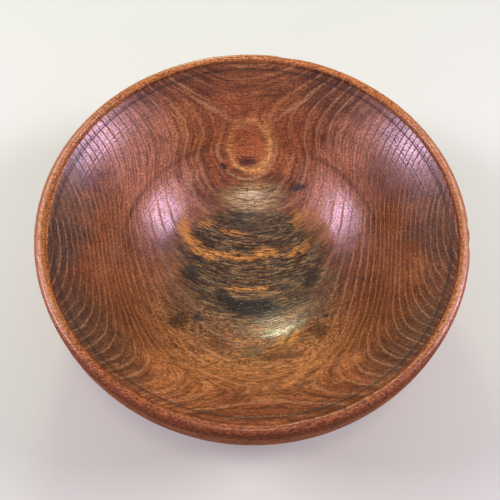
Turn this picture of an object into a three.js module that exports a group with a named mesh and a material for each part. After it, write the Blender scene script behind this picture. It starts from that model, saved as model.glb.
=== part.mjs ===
// Turned wooden bowl: one piece of wood, thick in the wall, standing on a turned foot.
// Millimetres, +Z up. The origin is the middle of the foot's resting face.
import * as THREE from 'three';

// Outside
const bowlDiameter = 254; // at the widest place, the belly
const bowlHeight = 88;
const bellySwell = 1.5; // how far the belly stands out past the rim
const bellyDrop = 19; // from the top of the rim down to the belly
const bellyFullness = 36; // how far the side stays nearly upright below the belly
const footDiameter = 124;
const footHeight = 6;
const footEdge = 0.8; // small bevel round the foot
const undersideFlare = 18; // sets how far the underside runs outwards as it leaves the foot
const undersideLift = 14; // sets how far it rises over that run
const recessDiameter = 100; // hollow turned into the foot
const recessDepth = 3;
const recessSlope = 1.5; // the hollow's side leans outwards by this much

// Rim
const lipWidth = 6;
const lipRound = 3; // height of the rounded lip
const bandDrop = 5.7; // the steep band inside the lip, down to the rim line
const bandLean = 1.2; // how far the band leans inwards over that drop

// Inside
const ringInset = 42.7; // from the belly's radius in to the turned ring
const ringDepth = 45.8; // from the top of the rim down to the turned ring
const upperWallBulge = 2; // the wall above the ring swells into the hollow
const lowerWallHollow = 1.2; // the wall below it is slightly hollow
const floorDiameter = 116;
const floorRise = 11; // the dished floor's edge lies this much above its middle
const bottomThickness = 8; // wood under the middle of the floor
const coveReach = 4.5; // how far the round between wall and floor reaches along each

// Fine lines cut with the point of the tool
const lineWidth = 1.4;
const lineDepth = 0.6;

// Steps round the turned shape, and along its curves
const turnSteps = 80;
const undersideSteps = 11;
const bellySteps = 4;
const lipSteps = 6;
const wallSteps = 6;
const coveSteps = 3;
const floorSteps = 7;

const woodColour = 0x8f5136;
const woodRoughness = 0.42;

const point = (radius, height) => new THREE.Vector2(radius, height);

// Arc-like curve between two points that swells by bulge to the right of its direction
function bulgedCurve(start, end, bulge) {
  const along = end.clone().sub(start).normalize();
  const side = point(along.y, -along.x);
  const control = start.clone().add(end).multiplyScalar(0.5).addScaledVector(side, 2 * bulge);
  return new THREE.QuadraticBezierCurve(start, control, end);
}

// Points along part of a curve; trims are lengths left off at its start and end
function sample(curve, steps, trimStart = 0, trimEnd = 0) {
  const length = curve.getLength();
  const from = trimStart / length;
  const to = 1 - trimEnd / length;
  const points = [];
  for (let i = 0; i <= steps; i += 1) {
    points.push(curve.getPointAt(from + ((to - from) * i) / steps));
  }
  return points;
}

// Bottom of a fine line cut where two curves meet, sunk into the wood on the left of their direction
function lineBottom(before, after) {
  const along = before.getTangentAt(1).add(after.getTangentAt(0)).normalize();
  return after.getPointAt(0).add(point(-along.y, along.x).multiplyScalar(lineDepth));
}

const bowlRadius = bowlDiameter / 2;
const rimRadius = bowlRadius - bellySwell;
const lipInnerRadius = rimRadius - lipWidth;
const bellyHeight = bowlHeight - bellyDrop;
const lipHeight = bowlHeight - lipRound;
const footRadius = footDiameter / 2;
const recessRadius = recessDiameter / 2;
const floorRadius = floorDiameter / 2;
const floorHeight = recessDepth + bottomThickness;

// Foot: the hollow under the bowl, the flat ring that it rests on, and the bevelled edge
function footOutline() {
  return [
    point(0, recessDepth),
    point(recessRadius - recessSlope, recessDepth),
    point(recessRadius, 0),
    point(footRadius - footEdge, 0),
    point(footRadius, footEdge),
  ];
}

// Outer side: up from the foot round the belly to the lip
function outsideOutline() {
  const underside = new THREE.CubicBezierCurve(
    point(footRadius, footHeight),
    point(footRadius + undersideFlare, footHeight + undersideLift),
    point(bowlRadius, bellyHeight - bellyFullness),
    point(bowlRadius, bellyHeight),
  );
  const shoulder = new THREE.QuadraticBezierCurve(
    point(bowlRadius, bellyHeight),
    point(bowlRadius, (bellyHeight + lipHeight) / 2),
    point(rimRadius, lipHeight),
  );
  return [...sample(underside, undersideSteps), ...sample(shoulder, bellySteps).slice(1)];
}

// Lip: a half round over the rim, from its outer side to its inner side
function lipOutline() {
  const lipMiddle = rimRadius - lipWidth / 2;
  const lip = new THREE.EllipseCurve(lipMiddle, lipHeight, lipWidth / 2, lipRound, 0, Math.PI, false, 0);
  return sample(lip, lipSteps).slice(1, -1);
}

// Inside: down from the lip past the rim line and the turned ring to the middle of the floor
function insideOutline() {
  const lipInside = point(lipInnerRadius, lipHeight);
  const rimLine = point(lipInnerRadius - bandLean, lipHeight - bandDrop);
  const ring = point(bowlRadius - ringInset, bowlHeight - ringDepth);
  const floorEdge = point(floorRadius, floorHeight + floorRise);
  const floorMiddle = point(0, floorHeight);

  const band = new THREE.LineCurve(lipInside, rimLine);
  const upperWall = bulgedCurve(rimLine, ring, upperWallBulge);
  const lowerWall = bulgedCurve(ring, floorEdge, -lowerWallHollow);
  // Level at the middle, so its control point is half way out at the middle's height
  const floor = new THREE.QuadraticBezierCurve(floorEdge, point(floorRadius / 2, floorHeight), floorMiddle);
  const coveStart = lowerWall.getPointAt(1 - coveReach / lowerWall.getLength());
  const coveEnd = floor.getPointAt(coveReach / floor.getLength());
  const cove = new THREE.QuadraticBezierCurve(coveStart, floorEdge, coveEnd);
  const halfLine = lineWidth / 2;

  return [
    ...sample(band, 1, 0, halfLine),
    lineBottom(band, upperWall),
    ...sample(upperWall, wallSteps, halfLine, halfLine),
    lineBottom(upperWall, lowerWall),
    ...sample(lowerWall, wallSteps, halfLine, coveReach),
    ...sample(cove, coveSteps).slice(1),
    ...sample(floor, floorSteps, coveReach).slice(1, -1),
    floorMiddle,
  ];
}

function turnedBowl() {
  const outline = [...footOutline(), ...outsideOutline(), ...lipOutline(), ...insideOutline()];
  const geometry = new THREE.LatheGeometry(outline, turnSteps);
  geometry.rotateX(Math.PI / 2);
  const wood = new THREE.MeshStandardMaterial({
    color: woodColour,
    roughness: woodRoughness,
    metalness: 0,
  });
  const mesh = new THREE.Mesh(geometry, wood);
  mesh.name = 'bowl';
  return mesh;
}

const model = new THREE.Group();
model.add(turnedBowl());

export default model;
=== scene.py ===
# Turned wooden bowl: its looks, the light on it and the camera.
# Blender works in metres; the measures in the dictionaries below are in millimetres.
import math
import random

import bmesh
import bpy
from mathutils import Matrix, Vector, noise
from mathutils.geometry import interpolate_bezier


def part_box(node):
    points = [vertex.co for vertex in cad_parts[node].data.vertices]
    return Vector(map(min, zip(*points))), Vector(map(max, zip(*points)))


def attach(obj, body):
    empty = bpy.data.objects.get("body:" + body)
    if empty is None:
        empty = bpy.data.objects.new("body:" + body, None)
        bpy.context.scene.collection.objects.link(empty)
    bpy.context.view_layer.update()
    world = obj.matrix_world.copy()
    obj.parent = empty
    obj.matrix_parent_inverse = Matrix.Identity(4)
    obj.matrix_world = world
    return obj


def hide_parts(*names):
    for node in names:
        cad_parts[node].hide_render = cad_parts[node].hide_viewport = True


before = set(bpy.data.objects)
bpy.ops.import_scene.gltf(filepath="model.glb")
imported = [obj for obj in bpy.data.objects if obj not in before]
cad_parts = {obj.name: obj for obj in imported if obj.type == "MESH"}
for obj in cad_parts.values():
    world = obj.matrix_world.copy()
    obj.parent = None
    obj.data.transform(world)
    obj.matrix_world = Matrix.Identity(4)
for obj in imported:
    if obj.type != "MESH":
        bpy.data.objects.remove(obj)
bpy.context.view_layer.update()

mm = 0.001
scene = bpy.context.scene
scene.view_settings.view_transform = "Standard"


# The turned shape

bowlShape = {
    "bellySwell": 1.5,  # how far the belly stands out past the rim
    "bellyDrop": 19.0,  # from the top of the rim down to the belly
    "bellyFullness": 36.0,  # how far the side stays nearly upright below the belly
    "footRadius": 62.0,
    "footHeight": 6.0,
    "footEdge": 0.8,  # small bevel round the foot
    "undersideFlare": 18.0,  # how far the underside runs outwards as it leaves the foot
    "undersideLift": 14.0,
    "recessRadius": 50.0,  # the hollow turned into the foot
    "recessDepth": 3.0,
    "recessSlope": 1.5,
    "edgeRound": 0.5,  # softening of the foot's edges
    "lipWidth": 6.0,
    "lipRound": 3.0,  # height of the rounded lip
    "bandDrop": 3.0,  # the sloping band inside the lip
    "bandLean": 3.1,
    "quirkReach": 0.6,  # softening where the lip runs into the band
    "bandBlend": 1.6,  # softening where the band runs into the wall
    "ringInset": 42.7,  # from the belly's radius in to the turned ring
    "ringDepth": 45.8,  # from the top of the rim down to the turned ring
    "ringBlend": 6.5,  # softening of the bend in the wall at the turned ring
    "upperWallBulge": 2.0,
    "lowerWallHollow": 1.2,
    "floorRadius": 58.0,
    "floorRise": 11.0,  # the dished floor's edge lies this much above its middle
    "bottomThickness": 8.0,
    "coveReach": 4.5,  # softening between the wall and the floor
    "handledFrom": -2.6,  # the duller wood of the outside starts here, in mm from the lip's crest
    "turnSteps": 384,
    "drawnStep": 0.05,  # spacing of the points that the outline is drawn with
    # Spacing of the mesh along the outline, up to each distance from the lip's crest
    "meshStep": [
        (-70, 3.6),
        (-9, 2.0),
        (6, 0.5),
        (8.2, 0.7),
        (10.4, 0.3),
        (57, 1.0),
        (64, 0.6),
        (100, 1.3),
        (400, 2.0),
    ],
    # Past this radius and below this height, the foot's edges have a spacing finer by this factor
    "footEdges": (48.0, 7.5, 0.13),
}


def stretch(start, firstHandle, secondHandle, end, step):
    corners = [Vector((radius, 0, height)) for radius, height in (start, firstHandle, secondHandle, end)]
    length = sum((b - a).length for a, b in zip(corners, corners[1:]))
    return interpolate_bezier(*corners, max(3, int(length / step)))[1:]


def straight(start, end, step):
    return stretch(start, between(start, end, 1 / 3), between(start, end, 2 / 3), end, step)


def arch(start, control, end, step):
    return stretch(start, between(start, control, 2 / 3), between(end, control, 2 / 3), end, step)


def between(a, b, share):
    return tuple(p + (q - p) * share for p, q in zip(a, b))


def bulged(start, end, bulge, step):  # swells by bulge to the right of its direction
    along = (Vector(end) - Vector(start)).normalized()
    middle = between(start, end, 0.5)
    return arch(start, (middle[0] + 2 * bulge * along.y, middle[1] - 2 * bulge * along.x), end, step)


def eased(before, after, corner, reach, step):  # joins two stretches with a round of that reach
    count = int(reach / step)
    before, after = before[:-count], after[count:]
    return before + arch(before[-1].xz, corner, after[0].xz, step) + after[1:]


# Foot: the hollow under it, the resting ring and the bevelled edge, with softened corners
def footOutline(shape):
    step = shape["drawnStep"]
    footRadius = shape["footRadius"]
    corners = [
        (0.0, shape["recessDepth"]),
        (shape["recessRadius"] - shape["recessSlope"], shape["recessDepth"]),
        (shape["recessRadius"], 0.0),
        (footRadius - shape["footEdge"], 0.0),
        (footRadius, shape["footEdge"]),
        (footRadius, shape["footHeight"]),
    ]
    outline = [Vector((0, 0, shape["recessDepth"]))]
    at = corners[0]
    for before, corner, after in zip(corners, corners[1:], corners[2:]):
        reach = min(shape["edgeRound"], math.dist(before, corner) / 3, math.dist(corner, after) / 3)
        arrive = between(corner, before, reach / math.dist(before, corner))
        leave = between(corner, after, reach / math.dist(corner, after))
        outline += straight(at, arrive, step) + arch(arrive, corner, leave, step)
        at = leave
    return outline + straight(at, corners[-1], step)


def bowlOutline(shape, bowlRadius, bowlHeight):
    step = shape["drawnStep"]
    bellyHeight = bowlHeight - shape["bellyDrop"]
    rimRadius = bowlRadius - shape["bellySwell"]
    lipHeight = bowlHeight - shape["lipRound"]
    lipInner = rimRadius - shape["lipWidth"]
    floorHeight = shape["recessDepth"] + shape["bottomThickness"]

    # Outside: up round the belly, over the lip and down its sloping band
    outline = footOutline(shape)
    footTop = (shape["footRadius"], shape["footHeight"])
    flared = (footTop[0] + shape["undersideFlare"], footTop[1] + shape["undersideLift"])
    belly = (bowlRadius, bellyHeight)
    upright = (bowlRadius, bellyHeight - shape["bellyFullness"])
    outline += stretch(footTop, flared, upright, belly, step)
    outline += arch(belly, (bowlRadius, (bellyHeight + lipHeight) / 2), (rimRadius, lipHeight), step)
    lipSteps = int(math.pi * shape["lipWidth"] / 2 / step)
    for index in range(1, lipSteps + 1):
        angle = math.pi * index / lipSteps
        radius = rimRadius - shape["lipWidth"] / 2 * (1 - math.cos(angle))
        outline.append(Vector((radius, 0, lipHeight + shape["lipRound"] * math.sin(angle))))
    bandFoot = (lipInner - shape["bandLean"], lipHeight - shape["bandDrop"])
    band = straight((lipInner, lipHeight), bandFoot, step)

    # Inside: two stretches of wall that meet in the turned ring, a cove and the dished floor
    ring = (bowlRadius - shape["ringInset"], bowlHeight - shape["ringDepth"])
    floorEdge = (shape["floorRadius"], floorHeight + shape["floorRise"])
    upperWall = bulged(bandFoot, ring, shape["upperWallBulge"], step)
    lowerWall = bulged(ring, floorEdge, -shape["lowerWallHollow"], step)
    floor = arch(floorEdge, (shape["floorRadius"] / 2, floorHeight), (0, floorHeight), step)
    outline = eased(outline, band, (lipInner, lipHeight), shape["quirkReach"], step)
    outline = eased(outline, upperWall, bandFoot, shape["bandBlend"], step)
    outline = eased(outline, lowerWall, ring, shape["ringBlend"], step)
    return eased(outline, floor, floorEdge, shape["coveReach"], step)


# Points of the outline that the mesh keeps, each with its distance along it from the lip's crest
def meshOutline(outline, shape):
    crest = max(range(len(outline)), key=lambda index: outline[index].z)
    lengths = [0.0]
    for a, b in zip(outline, outline[1:]):
        lengths.append(lengths[-1] + (b - a).length)
    footRadius, footHeight, finer = shape["footEdges"]
    kept = []
    walked = 1.0
    for index, place in enumerate(outline):
        fromRim = lengths[index] - lengths[crest]
        if index:
            size = next(size for limit, size in shape["meshStep"] if fromRim <= limit)
            if fromRim < 0 and place.x > footRadius and place.z < footHeight:
                size *= finer
            walked += (lengths[index] - lengths[index - 1]) / size
        if walked >= 1.0 or index == len(outline) - 1:
            kept.append((place, fromRim))
            walked = 0.0
    return kept


# Marks of age in the shape itself: angles in degrees round the rim, distances from the lip's crest

rimLine = 9.1  # the fine turned line inside the rim
turnedRing = 59.2  # the turned ring in the wall

bowlWear = {
    "outOfRound": 0.3,
    "outOfRoundTurn": 0.7,  # twice the angle of its longest way across, in radians
    "waves": 0.12,
    "waveSize": 26.0,
    "chatter": 0.035,  # left by the tool
    "chatterSize": 6.0,
    "restsFlat": (0.5, 9.0),  # heights between which the wear sets in
    "middleSteady": 4.0,  # radius within which it fades out
    "lipWear": 0.16,
    "lipFrom": (-11, -6),  # fromRim between which the lip's wear sets in, and fades out again
    "lipTo": (4.5, 7),
    "lipWearSizes": (3.1, 1.4),
    "grooves": [(rimLine, 0.8, 0.11), (turnedRing, 1.5, 0.10)],  # fromRim, half width, depth
    # angle, fromRim, half length round the rim, half width across it, depth
    "nicks": [
        (218.2, -9.0, 2.6, 2.2, 1.3),
        (79.5, -2.0, 7.0, 2.2, 0.7),
        (75.0, -1.0, 2.4, 1.6, 0.8),
        (104.0, 8.5, 2.2, 1.2, 0.5),
        (356.5, -3.2, 2.6, 2.0, 0.8),
        (350.5, -3.8, 3.2, 2.2, 0.9),
        (352.5, 2.5, 1.6, 3.4, 0.5),
        (282.2, -1.0, 2.6, 1.8, 0.8),
        (244.8, -3.0, 2.2, 1.8, 0.6),
        (196.0, -1.5, 2.0, 1.6, 0.5),
        (318.0, -4.0, 2.4, 1.8, 0.6),
        (301.0, -5.0, 2.2, 1.4, 0.6),
    ],
    "smallNicks": 70,
    "smallNick": [(0, 360), (-6, 4.5), (0.9, 2.2), (0.5, 1.2), (0.1, 0.35)],  # the same, as ranges
    "seed": 11,
    # x, y, radius, depth of the holes in the inside
    "holes": [
        (48.0, -42.0, 1.7, 0.45),
        (73.0, -19.0, 1.1, 0.5),
        (-20.0, 70.0, 2.0, 0.8),
        (-3.0, 74.0, 3.0, 0.5),
    ],
    "holesFrom": 12,  # none nearer to the lip's crest than this
}


def smoothStep(low, high, value):
    share = min(max((value - low) / (high - low), 0.0), 1.0)
    return share * share * (3 - 2 * share)


def dent(depth, near):  # near is the square of the distance, 1 at the mark's half width
    return depth * math.exp(-near * 1.6) if near < 4 else 0.0


def wearShape(bm, fromRimLayer, wear, bowlHeight):
    dice = random.Random(wear["seed"])
    nicks = list(wear["nicks"])
    for _ in range(wear["smallNicks"]):
        nicks.append([dice.uniform(low, high) for low, high in wear["smallNick"]])
    coarseSize, fineSize = wear["lipWearSizes"]
    bm.normal_update()
    moves = []
    for vert in bm.verts:
        place = vert.co
        fromRim = vert[fromRimLayer]
        radius = place.xy.length
        angle = math.atan2(place.y, place.x)
        out = wear["waves"] * noise.noise(place / wear["waveSize"])
        out += wear["chatter"] * noise.noise(place / wear["chatterSize"] + Vector((7, 3, 5)))
        lip = smoothStep(*wear["lipFrom"], fromRim) * (1 - smoothStep(*wear["lipTo"], fromRim))
        if lip > 0:
            worn = abs(noise.noise(place / coarseSize))
            worn += 0.7 * abs(noise.noise(place / fineSize + Vector((3, 8, 1))))
            out -= wear["lipWear"] * lip * worn
            for at, across, halfRound, halfAcross, depth in nicks:
                turned = math.remainder(angle - math.radians(at), math.tau) * radius
                out -= dent(depth, (turned / halfRound) ** 2 + ((fromRim - across) / halfAcross) ** 2)
        for across, halfWidth, depth in wear["grooves"]:
            out -= depth * math.exp(-(((fromRim - across) / halfWidth) ** 2))
        if fromRim > wear["holesFrom"]:
            for x, y, reach, depth in wear["holes"]:
                out -= dent(depth, ((place.x - x) ** 2 + (place.y - y) ** 2) / reach**2)
        steady = smoothStep(*wear["restsFlat"], place.z) * smoothStep(0, wear["middleSteady"], radius)
        move = vert.normal * out * steady
        if radius > 1:
            oval = math.cos(2 * angle - wear["outOfRoundTurn"])
            warp = wear["outOfRound"] * oval * (place.z / bowlHeight) ** 2
            move += Vector((place.x, place.y, 0)) / radius * (warp - wear["outOfRound"]) * steady
        moves.append(move)
    for vert, move in zip(bm.verts, moves):
        vert.co += move


def makeBowl(shape, wear):
    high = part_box("bowl")[1]
    bowlRadius, bowlHeight = high.x / mm, high.z / mm
    bm = bmesh.new()
    fromRimLayer = bm.verts.layers.float.new("fromRim")
    last = None
    for place, fromRim in meshOutline(bowlOutline(shape, bowlRadius, bowlHeight), shape):
        vert = bm.verts.new(place)
        vert[fromRimLayer] = fromRim
        if last:
            bm.edges.new((last, vert))
        last = vert
    bmesh.ops.spin(
        bm,
        geom=bm.verts[:] + bm.edges[:],
        cent=(0, 0, 0),
        axis=(0, 0, 1),
        angle=math.tau,
        steps=shape["turnSteps"],
        use_merge=True,
    )
    bmesh.ops.remove_doubles(bm, verts=bm.verts, dist=0.001)
    bmesh.ops.recalc_face_normals(bm, faces=bm.faces)
    wearShape(bm, fromRimLayer, wear, bowlHeight)
    bmesh.ops.scale(bm, vec=(mm, mm, mm), verts=bm.verts)
    for face in bm.faces:
        face.smooth = True
        face.material_index = int(max(vert[fromRimLayer] for vert in face.verts) < shape["handledFrom"])
    bmesh.ops.recalc_face_normals(bm, faces=bm.faces)
    mesh = bpy.data.meshes.new("turned bowl")
    bm.to_mesh(mesh)
    bm.free()
    bowl = bpy.data.objects.new("turned_bowl", mesh)
    scene.collection.objects.link(bowl)
    print("bowl:", len(mesh.vertices), "vertices,", len(mesh.polygons), "faces")
    return bowl


# Helpers for the node materials

def addNode(tree, kind, **settings):
    node = tree.nodes.new("ShaderNode" + kind)
    for name, value in settings.items():
        setattr(node, name, value)
    return node


def feed(tree, socket, value):  # a link from another node, or a fixed value
    if isinstance(value, bpy.types.NodeSocket):
        tree.links.new(value, socket)
    else:
        socket.default_value = value


def feedAll(tree, node, values):
    for socket, value in zip(node.inputs, values):
        feed(tree, socket, value)
    return node


def calc(tree, operation, *values, clamp=False):
    return feedAll(tree, addNode(tree, "Math", operation=operation, use_clamp=clamp), values).outputs[0]


def product(tree, first, *others):
    for value in others:
        first = calc(tree, "MULTIPLY", first, value)
    return first


def total(tree, *terms):  # each term is (factor, value)
    result = product(tree, *terms[0])
    for factor, value in terms[1:]:
        result = calc(tree, "MULTIPLY_ADD", value, factor, result)
    return result


def vectorCalc(tree, operation, *values):
    node = feedAll(tree, addNode(tree, "VectorMath", operation=operation), values)
    return node.outputs["Value" if operation == "LENGTH" else "Vector"]


def joinAxes(tree, *values):
    return feedAll(tree, addNode(tree, "CombineXYZ"), values).outputs[0]


def fade(tree, value, start, end, low=0.0, high=1.0):  # smooth change from low at start to high at end
    if start > end:
        start, end, low, high = end, start, high, low
    node = addNode(tree, "MapRange", interpolation_type="SMOOTHSTEP")
    return feedAll(tree, node, (value, start, end, low, high)).outputs[0]


def mixColour(tree, share, under, over, how="MIX"):
    node = addNode(tree, "Mix", data_type="RGBA", blend_type=how)
    for index, value in ((0, share), (6, under), (7, over)):
        feed(tree, node.inputs[index], value)
    return node.outputs[2]


def lay(tree, under, over, *shares):  # one tone over another, by the product of the shares
    return mixColour(tree, product(tree, *shares), under, over)


def shaded(tree, colour, value):  # darkens or lightens a tone
    grey = feedAll(tree, addNode(tree, "CombineColor"), (value, value, value)).outputs[0]
    return mixColour(tree, 1.0, colour, grey, "MULTIPLY")


# Noise, with its size in mm along X, Y and Z
def grain(tree, where, size, detail, roughness, shift=(0, 0, 0)):
    mapping = addNode(tree, "Mapping")
    feed(tree, mapping.inputs["Vector"], where)
    mapping.inputs["Location"].default_value = shift
    mapping.inputs["Scale"].default_value = [1 / s for s in size]
    node = addNode(tree, "TexNoise")
    feed(tree, node.inputs["Vector"], mapping.outputs[0])
    node.inputs["Scale"].default_value = 1.0
    node.inputs["Detail"].default_value = detail
    node.inputs["Roughness"].default_value = roughness
    return node


def pushes(tree, where, settings):  # noise as a push in each direction, from -0.5 to 0.5
    return vectorCalc(tree, "SUBTRACT", grain(tree, where, *settings).outputs["Color"], (0.5, 0.5, 0.5))


def spot(tree, flat, at, reach, turn=0.0, soft=0.5):  # 1 inside an oval of the plan, 0 outside it
    mapping = addNode(tree, "Mapping", vector_type="TEXTURE")
    feed(tree, mapping.inputs["Vector"], flat)
    mapping.inputs["Location"].default_value = (*at, 0)
    mapping.inputs["Rotation"].default_value = (0, 0, math.radians(turn))
    mapping.inputs["Scale"].default_value = (*reach, 1)
    return fade(tree, vectorCalc(tree, "LENGTH", mapping.outputs[0]), 1 + soft, 1 - soft)


def tone(text):  # colour as it looks on a screen, to the linear values that nodes take
    parts = [int(text[i : i + 2], 16) / 255 for i in (0, 2, 4)]
    return [p / 12.92 if p < 0.04045 else ((p + 0.055) / 1.055) ** 2.4 for p in parts] + [1.0]


# The wood

woodFigure = {
    "pithHeight": 139.5,  # the middle of the tree lies above the bowl and runs along X
    "pithAside": -19.0,
    "asideLean": 0.041,
    "heightLean": -0.011,
    "asideBend": 0.065 / 125.5,
    "heightBend": 0.165 / 125.5,
    "squash": 0.90,
    "knot": {"at": (-2.0, 81.0), "reach": (15.0, 12.0), "rise": 3.8},  # the rings swell here
    "firstRing": 84.0,
    "ringsPerMm": 0.4826,
    "ringSlowing": 0.00257,
    "slowsUntil": 35.0,  # the rings lie further apart with depth, down to this one
    "ringShift": -0.32,
    "waviness": 0.38,
    "ripple": 0.14,
    "lineHalfWidth": 0.10,  # share of the distance from one growth line to the next
    "floorBend": 0.0055,  # how much the floor's streaks curve, per millimetre
    # Ovals in the plan of the inside: place and reach
    "ovalPlain": ((-1.5, 80.5), (16, 13.5)),  # the growth lines fade out in it
    "ovalAbove": ((0, 99), (44, 18)),  # above it they show at least at half strength
    "ovalRim": ((-0.5, 80.2), (16.5, 13.5)),
    "ovalInRim": ((-2.2, 81.2), (12.5, 10.5)),
    "ovalMiddle": ((-2, 81), (12, 10)),
    "gritty": ((0, -42), (54, 46)),  # pale and dark crumbs on the near side
    "flecked": ((2, -78), (52, 24)),  # pale flecks low at the front
    "stain": ((0, -1), (50, 46)),
    "stainHalo": ((-2, -14), (60, 62)),
    "worn": ((1, 52), (20, 10)),  # the pale patch at the top of the floor, part worn wood and part painted highlight
    "rubbed": ((27, -51), (18, 13)),  # where the floor is rubbed to a brighter gloss
    "strokes": [((-28, 95.6), (21, 1.0), -12), ((33, 98.5), (21, 1.0), 21)],  # pale lines over the oval
    # Where the highlights fall, with the growth lines painted dark in them as open pores look there: place,
    # reach, turn, share
    "shine": [
        ((-88, 56), (32, 24), 48, 1.0),
        ((88, 60), (32, 24), -48, 1.0),
        ((-58, 16), (16, 22), 10, 0.5),
        ((57, 18), (16, 22), -10, 0.5),
    ],
    "toolLines": [(5.0, 0.6), (19.8, 0.35), (22.6, 0.2)],  # fromRim, share
}

# Noise in the wood: size in mm along X, Y and Z, detail, roughness, shift
woodGrains = {
    "clouds": ((60, 34, 34), 3.0, 0.5, (3, 3, 3)),
    "wobble": ((30, 11, 11), 2.0, 0.55, (0, 0, 0)),
    "patches": ((26, 15, 15), 2.0, 0.5, (6, 2, 9)),
    "streaks": ((22, 2.4, 2.4), 3.0, 0.55, (8, 1, 3)),
    "fibres": ((16, 1.25, 1.25), 2.0, 0.6, (2, 4, 1)),
    "polish": ((16, 12, 12), 3.0, 0.6, (7, 7, 7)),
    "warp": ((9, 7, 7), 2.0, 0.6, (3, 6, 2)),
    "mottle": ((8, 5, 5), 3.0, 0.65, (5, 9, 9)),
    "ripple": ((7, 2.2, 2.2), 2.0, 0.55, (4, 9, 2)),
    "vessels": ((6, 0.8, 0.8), 1.0, 0.5, (5, 5, 2)),
    "specks": ((4, 1.0, 1.0), 2.0, 0.6, (1, 5, 8)),
    "crumbs": ((2.4, 1.3, 1.3), 2.0, 0.7, (8, 8, 3)),
    "lipGrain": ((1.9, 1.0, 1.0), 3.0, 0.8, (2, 2, 6)),
    "dust": ((1.6, 0.8, 0.8), 1.0, 0.5, (3, 1, 7)),
    "dots": ((0.9, 0.9, 0.9), 1.0, 0.5, (2, 6, 4)),
}
driftGrain = ((20, 14, 14), 2.0, 0.6, (9, 9, 1))  # pushes the edges of tints and stains about

# The same for the stained floor, where the streaks bend
floorGrains = {
    "strands": ((15, 1.1, 3), 3.0, 0.7, (3, 8, 8)),
    "blotches": ((13, 4, 6), 3.0, 0.65, (4, 4, 7)),
    "threads": ((5, 0.75, 2), 1.0, 0.6, (9, 3, 4)),
    "grit": ((2.2, 0.9, 1.2), 1.0, 0.5, (7, 2, 5)),
}
smearGrain = ((11, 1.2, 3), 2.0, 0.65, (1, 7, 6))

woodTones = {
    "brown": "713d23",
    "golden": "d68450",
    "warm": "b0623c",
    "dark": "4c2a1c",
    "paintedSheen": "c67f6a",
    "umber": "553c29",
    "purple": "4a2b25",
    "film": "4f3d31",
    "line": "bd8760",
    "paintedLineShade": "4a2f2c",
    "pore": "2e1810",
    "fleck": "eaa667",
    "ringShade": "5a281b",
    "ovalRim": "d9965c",
    "outside": "a45e39",
    "underside": "7a4c2c",
    "lip": "bf733f",
    "lipPaleAndHighlight": "e3b193",
    "lipSide": "a8623f",
    "lipRed": "884526",
    "lipFront": "7a4026",
    "lipPore": "4a2212",
    "lipEdge": "3a1a10",
    "rimLineDark": "33261b",
    "stainDark": "241e12",
    "stainGrey": "665b43",
    "stainBrown": "503420",
    "stainOrange": "e29548",
    "worn": "c4a070",
    "speck": "d9c7a9",
    "black": "1f1712",
    "blueBlack": "2c2a2e",
}

# Tints on the wall in the plan of the inside: place, half length and half width, turn, share, tone
wallTints = [
    # Painted sheen: the pink glow round the highlights, at the left and at the right
    ((-68, 46), (28, 36), 30, 0.9, "paintedSheen"),
    ((64, 50), (26, 34), -30, 0.9, "paintedSheen"),
    ((0, 84), (44, 26), 0, 0.55, "warm"),
    ((2, -76), (46, 20), 0, 0.85, "golden"),
    ((-58, -40), (20, 38), 14, 0.2, "golden"),
    ((60, -46), (20, 32), -12, 0.35, "brown"),
    ((-86, -72), (16, 34), 38, 0.75, "umber"),
    ((86, -74), (16, 34), -38, 0.75, "umber"),
    ((58, 99), (26, 10), -30, 0.55, "purple"),
    ((109, 6), (9, 40), 0, 0.55, "film"),
    ((-110, 2), (9, 44), 0, 0.65, "film"),
    ((-4, 110), (36, 8), 0, 0.35, "dark"),
    ((-80, -18), (17, 36), 6, 0.45, "brown"),
    ((78, -22), (18, 38), -6, 0.6, "brown"),
    # Painted shade: the next two dim the highlight near the rim at the right and the low highlight at the
    # left
    ((92, 52), (15, 30), -40, 0.5, "dark"),
    ((-52, 14), (12, 20), 10, 0.42, "dark"),
    ((62, -84), (20, 14), 35, 0.3, "brown"),
    ((26, 56), (20, 9), 0, 0.35, "purple"),
]

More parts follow.
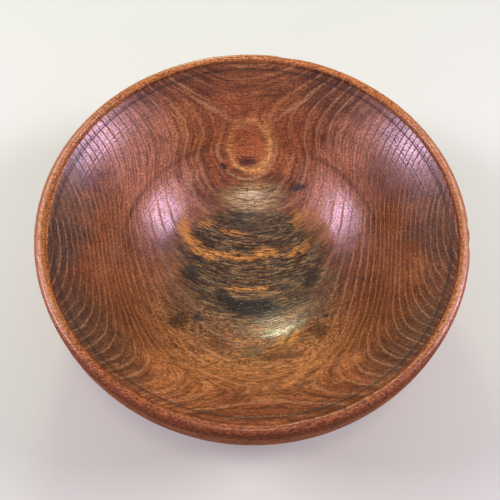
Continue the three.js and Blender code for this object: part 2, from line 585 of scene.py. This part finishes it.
# Marks of use on the floor and low on the wall: place, reach, turn, share, tone
floorMarks = [
    ((-46, 24), (4.5, 8), 15, 0.75, "stainOrange"),
    ((-40, 14), (9, 4.4), -45, 0.95, "stainOrange"),
    ((-30, 8), (9, 3.6), -25, 0.95, "stainOrange"),
    ((-13, 7), (14, 3.0), 0, 0.95, "stainOrange"),
    ((8, 9), (12, 3.0), 4, 0.9, "stainOrange"),
    ((33, 12), (10, 4), 18, 0.85, "stainOrange"),
    ((46, 25), (9, 13), 0, 0.3, "stainOrange"),
    ((44, 22), (9, 12), 0, 0.4, "stainBrown"),
    ((-44, -24), (13, 16), 0, 0.45, "stainBrown"),
    ((41, -30), (12, 13), 0, 0.4, "stainBrown"),
    ((-14, 25), (9, 1.9), -8, 0.7, "stainOrange"),
    ((-31, 30), (5, 3), 0, 0.6, "stainOrange"),
    ((33, 33), (5, 6), 0, 0.5, "stainOrange"),
    ((-1, -18), (14, 1.8), 2, 0.85, "stainOrange"),
    ((10, -27), (13, 5), -5, 0.5, "stainBrown"),
    ((24, -55), (9, 3), 50, 0.7, "stainOrange"),
    ((2, -32), (19, 7), -4, 1.0, "stainDark"),
    ((-18, -25), (9, 5), -25, 0.9, "stainDark"),
    ((-40, -8), (9, 5), 0, 0.75, "stainDark"),
    ((42, -12), (7, 6), 0, 0.7, "stainDark"),
    ((-46, -46), (6, 7), 0, 0.7, "stainDark"),
    ((-22, -62), (10, 5), 0, 0.55, "stainBrown"),
    ((16, -70), (14, 4), 4, 0.55, "stainBrown"),
    ((-34, -41), (4, 3), 0, 0.8, "stainDark"),
    ((43, -52), (5, 6), 0, 0.6, "stainDark"),
    ((-33, 17), (7, 4), -15, 0.6, "stainDark"),
    ((-4, 33), (26, 5), -3, 0.5, "stainDark"),
    ((0, -67), (6, 4), 0, 0.6, "stainGrey"),
    ((27, -51), (15, 1.5), 58, 0.7, "stainDark"),
    ((-20, 70), (3.5, 1.9), 10, 0.95, "black"),
    ((-3, 74), (7, 2.6), 0, 0.75, "black"),
    ((34, 56), (5, 2.8), 0, 0.9, "blueBlack"),
    ((48, -42), (2.4, 1.5), 0, 0.95, "black"),
    ((73, -19), (1.3, 0.9), 0, 0.9, "black"),
    ((-11, -25), (2.6, 0.8), -10, 0.4, "speck"),
]
fineMark = 2.9  # marks no wider than this keep a crisper edge

woodGloss = {
    "polish": (0.18, 0.28),  # roughness where the polish is best and where it is worst
    "dullest": 0.92,
    "ior": 1.6,
    "tint": "f3d2f8",  # of the mirrored light
    "levels": {"polished wood": 0.5, "handled wood": 0.12},  # how much light each finish mirrors
}

# Relief in mm, sunk where it is negative
woodRelief = {
    "line": -0.038,
    "pores": -0.030,
    "fibres": 0.022,
    "turning": 0.055,
    "dust": 0.014,
    "lipGrain": 0.06,
    "strands": -0.030,
    "threads": -0.010,
}


def readWood(tree):  # places, noise and zones that the looks are mixed from, by name
    where = vectorCalc(tree, "MULTIPLY", addNode(tree, "TexCoord").outputs["Object"], [1 / mm] * 3)
    wood = dict(zip("xyz", feedAll(tree, addNode(tree, "SeparateXYZ"), [where]).outputs))
    for name, settings in woodGrains.items():
        wood[name] = grain(tree, where, *settings).outputs[0]
    wood["drift"] = pushes(tree, where, driftGrain)
    wood["flat"] = vectorCalc(tree, "MULTIPLY", where, (1, 1, 0))

    # fromRim is the distance along the surface from the lip's crest, below 0 on the outside
    fromRim = addNode(tree, "Attribute", attribute_name="fromRim").outputs["Fac"]
    warp = calc(tree, "SUBTRACT", wood["warp"], 0.5)
    inside = fade(tree, fromRim, 3.5, 6.5)
    outside = fade(tree, calc(tree, "MULTIPLY_ADD", warp, 5.0, fromRim), -8.0, -11.0)
    lip = calc(tree, "SUBTRACT", calc(tree, "SUBTRACT", 1.0, inside), outside, clamp=True)
    wood.update(fromRim=fromRim, warp=warp, inside=inside, outside=outside, lip=lip)
    wood["wall"] = fade(tree, fromRim, 5.0, 8.0)
    wood["pores"] = fade(tree, wood["vessels"], 0.60, 0.70)
    return wood


# Number of the growth line nearest to each point, and how far past it the point lies, up to 0.5
def growthRings(tree, wood, figure):
    x, y, z = (wood[name] for name in "xyz")
    xSquare = calc(tree, "MULTIPLY", x, x)
    aside = [(figure["asideLean"], x), (figure["asideBend"], xSquare), (figure["pithAside"], 1.0)]
    height = [(figure["heightLean"], x), (figure["heightBend"], xSquare), (figure["pithHeight"], 1.0)]
    acrossY = calc(tree, "SUBTRACT", y, total(tree, *aside))
    acrossZ = calc(tree, "SUBTRACT", z, total(tree, *height))
    square = total(
        tree,
        (figure["squash"], calc(tree, "MULTIPLY", acrossZ, acrossZ)),
        (1.0, calc(tree, "MULTIPLY", acrossY, acrossY)),
    )
    knot = figure["knot"]
    knotX = calc(tree, "DIVIDE", calc(tree, "SUBTRACT", x, knot["at"][0]), knot["reach"][0])
    knotY = calc(tree, "DIVIDE", calc(tree, "SUBTRACT", y, knot["at"][1]), knot["reach"][1])
    away = total(
        tree,
        (-1.0, calc(tree, "MULTIPLY", knotX, knotX)),
        (-1.0, calc(tree, "MULTIPLY", knotY, knotY)),
    )
    rise = calc(tree, "MULTIPLY", calc(tree, "EXPONENT", away), knot["rise"])
    depth = calc(tree, "ADD", calc(tree, "SQRT", square), rise)
    depth = calc(tree, "SUBTRACT", depth, figure["firstRing"])

    slowed = calc(tree, "MINIMUM", depth, figure["slowsUntil"])
    beyond = calc(tree, "MULTIPLY_ADD", depth, 2.0, calc(tree, "MULTIPLY", slowed, -1.0))
    number = total(
        tree,
        (figure["ringsPerMm"], depth),
        (-figure["ringSlowing"], calc(tree, "MULTIPLY", slowed, beyond)),
        (figure["waviness"], wood["wobble"]),
        (figure["ripple"], wood["ripple"]),
        (figure["ringShift"], 1.0),
    )
    ring = calc(tree, "ROUND", number)
    return ring, calc(tree, "SUBTRACT", number, ring)


def addGrowthLines(tree, wood, figure):
    ring, part = growthRings(tree, wood, figure)
    fromLine = calc(tree, "ABSOLUTE", part)
    edge = calc(tree, "MULTIPLY_ADD", wood["specks"], 0.14, fromLine)
    wholeLine = fade(tree, edge, 0.12 + figure["lineHalfWidth"], 0.07)
    ringDice = addNode(tree, "TexWhiteNoise", noise_dimensions="1D")
    feed(tree, ringDice.inputs["W"], ring)
    strength = calc(tree, "MULTIPLY_ADD", ringDice.outputs[0], 0.5, 0.55)
    broken = product(
        tree,
        fade(tree, wood["dust"], 0.36, 0.58, 0.25, 1.0),
        fade(tree, wood["patches"], 0.3, 0.6, 0.5, 1.0),
        fade(tree, wood["y"], -95, -10, 0.62, 1.0),
    )

    # The oval keeps its middle plain, and two pale strokes lie over it
    ovalAt = vectorCalc(tree, "MULTIPLY_ADD", wood["drift"], (5, 5, 0), wood["flat"])
    above = product(tree, spot(tree, ovalAt, *figure["ovalAbove"]), 0.5)
    kept = calc(tree, "MAXIMUM", spot(tree, ovalAt, *figure["ovalPlain"], soft=0.3), above)
    plain = calc(tree, "SUBTRACT", 1.0, kept)
    strokes = [spot(tree, ovalAt, *stroke, 0.6) for stroke in figure["strokes"]]
    strokes = product(tree, calc(tree, "MAXIMUM", *strokes), broken, 0.8)
    line = calc(tree, "MAXIMUM", product(tree, wholeLine, strength, broken, plain), strokes)

    # Fine lines that follow the growth rings
    along = joinAxes(
        tree,
        calc(tree, "MULTIPLY", wood["x"], 0.05),
        calc(tree, "MULTIPLY", calc(tree, "ADD", ring, part), 7.0),
        calc(tree, "MULTIPLY", wood["y"], 0.12),
    )
    fineLines = grain(tree, along, (1, 1, 1), 2.0, 0.6).outputs[0]
    fineContrast = calc(tree, "MULTIPLY_ADD", plain, 0.75, 0.25)
    fineLines = calc(tree, "MULTIPLY_ADD", calc(tree, "SUBTRACT", fineLines, 0.5), fineContrast, 0.5)
    fibreTone = product(
        tree,
        fade(tree, wood["fibres"], 0.30, 0.70, 0.80, 1.16),
        fade(tree, fineLines, 0.34, 0.66, 0.64, 1.38),
        fade(tree, wood["specks"], 0.32, 0.70, 0.86, 1.14),
        fade(tree, wood["dust"], 0.30, 0.72, 0.66, 1.38),
    )

    # In the shine the growth lines are painted dark, as open pores look in the highlights
    shine = None
    for at, reach, turn, share in figure["shine"]:
        mask = product(tree, spot(tree, wood["flat"], at, reach, turn, 0.35), share)
        shine = calc(tree, "MAXIMUM", shine, mask) if shine else mask
    shineLine = product(tree, wholeLine, shine, fade(tree, wood["dust"], 0.3, 0.5, 0.6, 1.0))
    wood.update(part=part, line=line, plain=plain, ovalAt=ovalAt, fibreTone=fibreTone)
    wood.update(shine=shine, shineLine=shineLine)


def wallTone(tree, wood, figure, colour):
    base = lay(tree, colour["brown"], colour["golden"], fade(tree, wood["clouds"], 0.35, 0.68, 0.0, 0.4))
    base = lay(tree, base, colour["dark"], fade(tree, wood["streaks"], 0.5, 0.72, 0.0, 0.25))
    flatWide = vectorCalc(tree, "MULTIPLY_ADD", wood["drift"], (34, 34, 0), wood["flat"])
    mottled = fade(tree, wood["mottle"], 0.40, 0.56, 0.35, 1.0)
    for at, reach, turn, share, name in wallTints:
        shares = [spot(tree, flatWide, at, reach, turn, 0.6), share, wood["inside"]]
        if name == "golden":
            shares.append(mottled)
        base = lay(tree, base, colour[name], *shares)

    # Darker wood between the growth lines, and a shade along the far half of the turned ring
    lateWood = fade(tree, wood["part"], 0.12, 0.42)
    lateStrength = fade(tree, wood["patches"], 0.36, 0.66, 0.05, 0.42)
    outOfOval = calc(tree, "MULTIPLY_ADD", wood["plain"], 0.8, 0.2)
    base = lay(tree, base, colour["dark"], lateWood, lateStrength, outOfOval)
    base = lay(
        tree,
        base,
        colour["ringShade"],
        fade(tree, wood["fromRim"], turnedRing - 3.0, turnedRing - 0.2),
        fade(tree, wood["fromRim"], turnedRing + 3.4, turnedRing + 0.6),
        fade(tree, wood["clouds"], 0.35, 0.6, 0.25, 0.6),
        fade(tree, wood["y"], -12, 28),
        fade(tree, calc(tree, "ABSOLUTE", wood["x"]), 22, 44),
    )

    # The oval: a pale rim round a warm middle
    rim, inRim = (spot(tree, wood["ovalAt"], *figure[name], soft=0.2) for name in ("ovalRim", "ovalInRim"))
    rim = calc(tree, "SUBTRACT", rim, inRim, clamp=True)
    base = lay(tree, base, colour["ovalRim"], rim, fade(tree, wood["mottle"], 0.34, 0.5, 0.45, 1.0))
    middle = spot(tree, wood["ovalAt"], *figure["ovalMiddle"], soft=0.3)
    base = lay(tree, base, colour["warm"], middle, 0.85)

    # Fibres, crumbs, flecks and pores, with the growth lines over them
    base = shaded(tree, base, wood["fibreTone"])
    gritty = product(tree, spot(tree, flatWide, *figure["gritty"], soft=0.45), wood["inside"])
    base = lay(tree, base, colour["fleck"], gritty, fade(tree, wood["crumbs"], 0.52, 0.58, 0.0, 0.7))
    base = lay(tree, base, colour["dark"], gritty, fade(tree, wood["crumbs"], 0.46, 0.39, 0.0, 0.7))
    base = lay(
        tree,
        base,
        colour["fleck"],
        fade(tree, wood["specks"], 0.54, 0.64),
        fade(tree, wood["mottle"], 0.42, 0.56),
        spot(tree, flatWide, *figure["flecked"]),
        0.45,
    )
    base = lay(tree, base, colour["pore"], wood["pores"], 0.6)
    # Painted shade: the growth lines darker where the highlights fall
    lineTone = lay(tree, colour["line"], colour["paintedLineShade"], wood["shine"], 0.6)
    base = lay(tree, base, lineTone, wood["line"])
    return lay(tree, base, colour["paintedLineShade"], wood["shineLine"], 0.45)


# Stained floor: its streaks bend with the growth lines, and marks of use lie among them
def floorTone(tree, wood, figure, colour, base):
    x, y, z = (wood[name] for name in "xyz")
    bent = joinAxes(tree, x, calc(tree, "SUBTRACT", y, product(tree, x, x, figure["floorBend"])), z)
    for name, settings in floorGrains.items():
        wood[name] = grain(tree, bent, *settings).outputs[0]
    smear = pushes(tree, bent, smearGrain)
    flatNear = vectorCalc(tree, "MULTIPLY_ADD", wood["drift"], (14, 10, 0), wood["flat"])
    flatNear = vectorCalc(tree, "MULTIPLY_ADD", smear, (14, 11, 0), flatNear)
    flatFine = vectorCalc(tree, "MULTIPLY_ADD", smear, (9, 6, 0), wood["flat"])
    heart = spot(tree, flatNear, *figure["stain"], soft=0.16)
    halo = product(tree, spot(tree, flatNear, *figure["stainHalo"], soft=0.3), 0.5)
    stain = product(tree, calc(tree, "MAXIMUM", heart, halo), wood["wall"])
    worn = product(tree, spot(tree, flatNear, *figure["worn"], 3, 0.4), wood["wall"])
    floorGrain = calc(tree, "MAXIMUM", stain, worn)
    wood.update(stain=stain, floorGrain=floorGrain)

    blotches, strands, threads = wood["blotches"], wood["strands"], wood["threads"]
    stained = lay(tree, colour["stainGrey"], colour["stainBrown"], fade(tree, blotches, 0.42, 0.56))
    stained = lay(tree, stained, colour["stainOrange"], fade(tree, strands, 0.44, 0.34, 0.0, 0.5))
    base = lay(tree, base, stained, stain, fade(tree, blotches, 0.3, 0.6, 0.7, 0.97))
    base = lay(tree, base, colour["worn"], floorGrain, fade(tree, threads, 0.46, 0.36, 0.0, 0.26))
    # The pale patch at the top of the floor: part wear, part painted highlight
    base = lay(tree, base, colour["worn"], worn, 0.6)
    for at, reach, turn, share, name in floorMarks:
        mark = spot(tree, flatNear if min(reach) > fineMark else flatFine, at, reach, turn, 0.4)
        marbled = fade(tree, blotches, 0.32, 0.5, share * 0.8, share)
        base = lay(tree, base, colour[name], mark, marbled, wood["wall"])
    for name, start, end, share, over in (
        ("strands", 0.50, 0.58, 0.85, "stainDark"),
        ("threads", 0.56, 0.64, 0.8, "stainDark"),
        ("grit", 0.56, 0.66, 0.75, "stainDark"),
        ("dots", 0.735, 0.78, 0.9, "speck"),
    ):
        base = lay(tree, base, colour[over], floorGrain, fade(tree, wood[name], start, end, 0.0, share))
    return base


# Where the golden wood of the lip ends on the band: further down at the left, and sooner at the
# right, the front and the back
def goldenEnd(tree, wood):
    x, y = wood["x"], wood["y"]
    aside = calc(tree, "SUBTRACT", fade(tree, x, -108, -119, 0.0, 1.8), fade(tree, x, 92, 116, 0.0, 1.2))
    end = calc(tree, "MULTIPLY_ADD", wood["warp"], 1.6, calc(tree, "ADD", aside, 4.6))
    end = calc(tree, "SUBTRACT", end, fade(tree, y, -50, -105, 0.0, 1.3))
    return calc(tree, "SUBTRACT", end, fade(tree, y, 75, 112, 0.0, 1.5))


# Lip: golden and rough with open pores, redder outside, dark at the front, with a pale crest at both sides
# that is part rubbed wood, part painted highlight
def lipTone(tree, wood, figure, colour, base):
    y, fromRim = wood["y"], wood["fromRim"]
    lipWood = lay(tree, colour["lip"], colour["lipRed"], fade(tree, fromRim, -0.5, -4.0, 0.0, 0.85))
    besideCrest = calc(tree, "MAXIMUM", fade(tree, fromRim, -0.4, -1.8), fade(tree, fromRim, 1.6, 3.0))
    lipWood = lay(tree, lipWood, colour["lipFront"], fade(tree, y, -66, -108), besideCrest, 0.8)
    lipWood = lay(tree, lipWood, colour["lipRed"], fade(tree, y, -40, -110, 0.0, 0.8))
    endGrain = fade(tree, calc(tree, "ABSOLUTE", wood["x"]), 88, 118)
    rubbed = product(tree, endGrain, fade(tree, fromRim, 2.2, 1.2))
    lipWood = lay(tree, lipWood, colour["lipSide"], rubbed, 0.9)
    # Pale crest at both sides: part rubbed wood, part painted highlight
    bead = product(tree, fade(tree, fromRim, -0.9, 0.4), fade(tree, fromRim, 1.9, 0.7))
    beadShare = fade(tree, wood["mottle"], 0.36, 0.56, 0.3, 0.7)
    lipWood = lay(tree, lipWood, colour["lipPaleAndHighlight"], bead, endGrain, beadShare)
    coarse = calc(tree, "MULTIPLY_ADD", rubbed, -0.65, 1.0)
    speckle = calc(tree, "SUBTRACT", fade(tree, wood["lipGrain"], 0.38, 0.56, 1.5, 0.6), 1.0)
    lipWood = shaded(tree, lipWood, calc(tree, "MULTIPLY_ADD", speckle, coarse, 1.0))
    lipPores = fade(tree, wood["lipGrain"], 0.54, 0.64, 0.0, 0.75)
    lipWood = lay(tree, lipWood, colour["lipPore"], lipPores, coarse)

    bandEdge = calc(tree, "SUBTRACT", fromRim, goldenEnd(tree, wood))
    notOutside = calc(tree, "SUBTRACT", 1.0, wood["outside"])
    base = lay(tree, base, lipWood, notOutside, fade(tree, bandEdge, 0.6, -0.6))
    band = product(tree, fade(tree, bandEdge, -0.4, 1.0), fade(tree, fromRim, rimLine + 3.3, rimLine + 0.5))
    base = lay(tree, base, colour["lipEdge"], band, 0.12)

    # A dark line along the rim line, and fine lines left by the tool
    darkLineFrom = fade(tree, fromRim, rimLine - 1.1, rimLine - 0.3)
    darkLineTo = fade(tree, fromRim, rimLine + 1.5, rimLine + 0.3)
    base = lay(tree, base, colour["rimLineDark"], darkLineFrom, darkLineTo, 0.6)
    for at, share in figure["toolLines"]:
        warped = calc(tree, "MULTIPLY_ADD", wood["warp"], 0.7, fromRim)
        fromTool = calc(tree, "ABSOLUTE", calc(tree, "SUBTRACT", warped, at))
        toolLine = fade(tree, fromTool, 0.55, 0.15, 0.0, share)
        base = lay(tree, base, colour["lipEdge"], toolLine, fade(tree, wood["patches"], 0.36, 0.56))
    return base


# Outside and underside: plainer, handled smooth, with the figure only faint
def outsideTone(tree, wood, colour, base):
    out = lay(tree, colour["outside"], colour["underside"], fade(tree, wood["z"], 26, 8))
    out = shaded(tree, out, wood["fibreTone"])
    out = lay(tree, out, colour["dark"], fade(tree, wood["streaks"], 0.5, 0.75, 0.0, 0.45))
    out = lay(tree, out, colour["line"], wood["line"], 0.4)
    out = lay(tree, out, colour["pore"], wood["pores"], 0.5)
    out = lay(tree, out, colour["pore"], fade(tree, wood["z"], 5.0, 1.0, 0.0, 0.35))
    return lay(tree, base, out, wood["outside"])


# Polished wood, duller on the growth lines, in the pores, on the stains and where hands hold it
def woodRoughness(tree, wood, figure, gloss):
    fromRim = wood["fromRim"]
    rubbed = spot(tree, wood["flat"], *figure["rubbed"])
    rough = product(
        tree,
        fade(tree, wood["polish"], 0.3, 0.7, *gloss["polish"]),
        calc(tree, "MULTIPLY_ADD", wood["floorGrain"], -0.3, 1.0),
        calc(tree, "MULTIPLY_ADD", rubbed, -0.45, 1.0),
    )
    pastLip = fade(tree, fromRim, -1.6, -3.2)
    for amount, where in (
        (0.28, wood["line"]),
        (0.35, wood["shineLine"]),
        (0.2, wood["pores"]),
        (0.06, fade(tree, wood["fibres"], 0.35, 0.7)),
        (0.08, product(tree, wood["stain"], fade(tree, wood["strands"], 0.5, 0.62))),
        (product(tree, wood["outside"], 0.15), fade(tree, wood["z"], 20, 4)),
        (0.12, pastLip),
        (0.45, product(tree, pastLip, fade(tree, fromRim, -52, -38))),
    ):
        rough = calc(tree, "MULTIPLY_ADD", where, amount, rough)
    return calc(tree, "MINIMUM", rough, gloss["dullest"])


# Sunk lines and pores, turning marks, the rough lip and the worn floor
def woodBump(tree, wood, relief):
    turning = addNode(tree, "TexNoise", noise_dimensions="1D")
    feed(tree, turning.inputs["W"], wood["fromRim"])
    turning.inputs["Scale"].default_value = 0.75
    turning.inputs["Detail"].default_value = 1.0
    heights = dict(wood, turning=turning.outputs[0])
    heights["lipGrain"] = product(tree, wood["lipGrain"], wood["lip"])
    for name in ("strands", "threads"):
        heights[name] = product(tree, wood[name], wood["floorGrain"])
    bump = addNode(tree, "Bump")
    bump.inputs["Strength"].default_value = 1.0
    bump.inputs["Distance"].default_value = mm
    terms = [(amount, heights[name]) for name, amount in relief.items()]
    feed(tree, bump.inputs["Height"], total(tree, *terms))
    return bump.outputs[0]


def woodMaterial(name, figure, tones, gloss, relief):
    material = bpy.data.materials.new(name)
    material.use_nodes = True
    tree = material.node_tree
    tree.nodes.clear()
    shader = addNode(tree, "BsdfPrincipled")
    result = addNode(tree, "OutputMaterial")
    tree.links.new(shader.outputs[0], result.inputs[0])
    colour = {toneName: tone(value) for toneName, value in tones.items()}
    wood = readWood(tree)
    addGrowthLines(tree, wood, figure)
    base = wallTone(tree, wood, figure, colour)
    base = floorTone(tree, wood, figure, colour, base)
    base = lipTone(tree, wood, figure, colour, base)
    base = outsideTone(tree, wood, colour, base)
    feed(tree, shader.inputs["Base Color"], base)
    feed(tree, shader.inputs["Roughness"], woodRoughness(tree, wood, figure, gloss))
    feed(tree, shader.inputs["Normal"], woodBump(tree, wood, relief))
    shader.inputs["IOR"].default_value = gloss["ior"]
    shader.inputs["Specular IOR Level"].default_value = gloss["levels"][name]
    shader.inputs["Specular Tint"].default_value = tone(gloss["tint"])
    print(name + ":", len(tree.nodes), "nodes")
    return material


bowl = makeBowl(bowlShape, bowlWear)
for name in woodGloss["levels"]:
    bowl.data.materials.append(woodMaterial(name, woodFigure, woodTones, woodGloss, woodRelief))
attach(bowl, "root")
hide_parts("bowl")


# Studio: pale floor, soft lamps and a low even light from all round

studio = {
    "floorSize": 6.0,  # in metres, as the lamps' distances and sizes are
    "floorTone": "e0dde3",
    "floorRoughness": 0.9,
    "worldTone": (1.0, 0.99, 0.99),
    "worldLevel": 0.30,
    # name: direction from the bowl, distance, size, power, tone
    "lamps": {
        "rightLamp": ((0.77, 0.05, 0.62), 0.9, (0.30, 0.21), 4.5, (1.0, 0.945, 0.97)),
        "leftLamp": ((-0.77, 0.05, 0.64), 0.9, (0.30, 0.21), 4.3, (1.0, 0.945, 0.97)),
        "backLamp": ((-0.125, 0.862, 0.522), 0.9, (0.15, 0.12), 1.8, (0.70, 1.0, 0.46)),
        "topLamp": ((0.01, -0.10, 0.995), 1.0, (0.155, 0.13), 1.25, (1.0, 0.98, 0.52)),
    },
    "aim": (0.0, 0.0, 0.05),
}


def makeFloor(settings):
    bm = bmesh.new()
    bmesh.ops.create_grid(bm, x_segments=1, y_segments=1, size=settings["floorSize"] / 2)
    mesh = bpy.data.meshes.new("floor")
    bm.to_mesh(mesh)
    bm.free()
    floor = bpy.data.objects.new("floor", mesh)
    scene.collection.objects.link(floor)
    material = bpy.data.materials.new("pale floor")
    material.use_nodes = True
    shader = material.node_tree.nodes["Principled BSDF"]
    shader.inputs["Base Color"].default_value = tone(settings["floorTone"])
    shader.inputs["Roughness"].default_value = settings["floorRoughness"]
    mesh.materials.append(material)


def makeLamps(settings):
    aim = Vector(settings["aim"])
    for name, (direction, distance, size, power, tint) in settings["lamps"].items():
        light = bpy.data.lights.new(name, "AREA")
        light.shape = "RECTANGLE"
        light.size, light.size_y = size
        light.energy = power
        light.color = tint
        lamp = bpy.data.objects.new(name, light)
        lamp.location = aim + Vector(direction).normalized() * distance
        lamp.rotation_euler = (lamp.location - aim).to_track_quat("Z", "Y").to_euler()
        scene.collection.objects.link(lamp)


def makeWorld(settings):
    world = bpy.data.worlds.new("even light")
    world.use_nodes = True
    background = world.node_tree.nodes["Background"]
    background.inputs["Color"].default_value = (*settings["worldTone"], 1)
    background.inputs["Strength"].default_value = settings["worldLevel"]
    scene.world = world


makeFloor(studio)
makeLamps(studio)
makeWorld(studio)
print("studio: floor and", len(studio["lamps"]), "lamps")


# Camera, from high in front of the bowl; its place is in metres and its tilt in degrees

cameraView = {"place": (-0.00786, -0.16027, 0.35684), "tilt": (26.56, -1.21, 0.0), "lens": 38.78}

camera = bpy.data.objects.new("camera", bpy.data.cameras.new("camera"))
camera.location = cameraView["place"]
camera.rotation_euler = [math.radians(angle) for angle in cameraView["tilt"]]
camera.data.lens = cameraView["lens"]
camera.data.clip_start = 0.01
scene.collection.objects.link(camera)
bpy.context.scene.camera = camera
print("camera set")
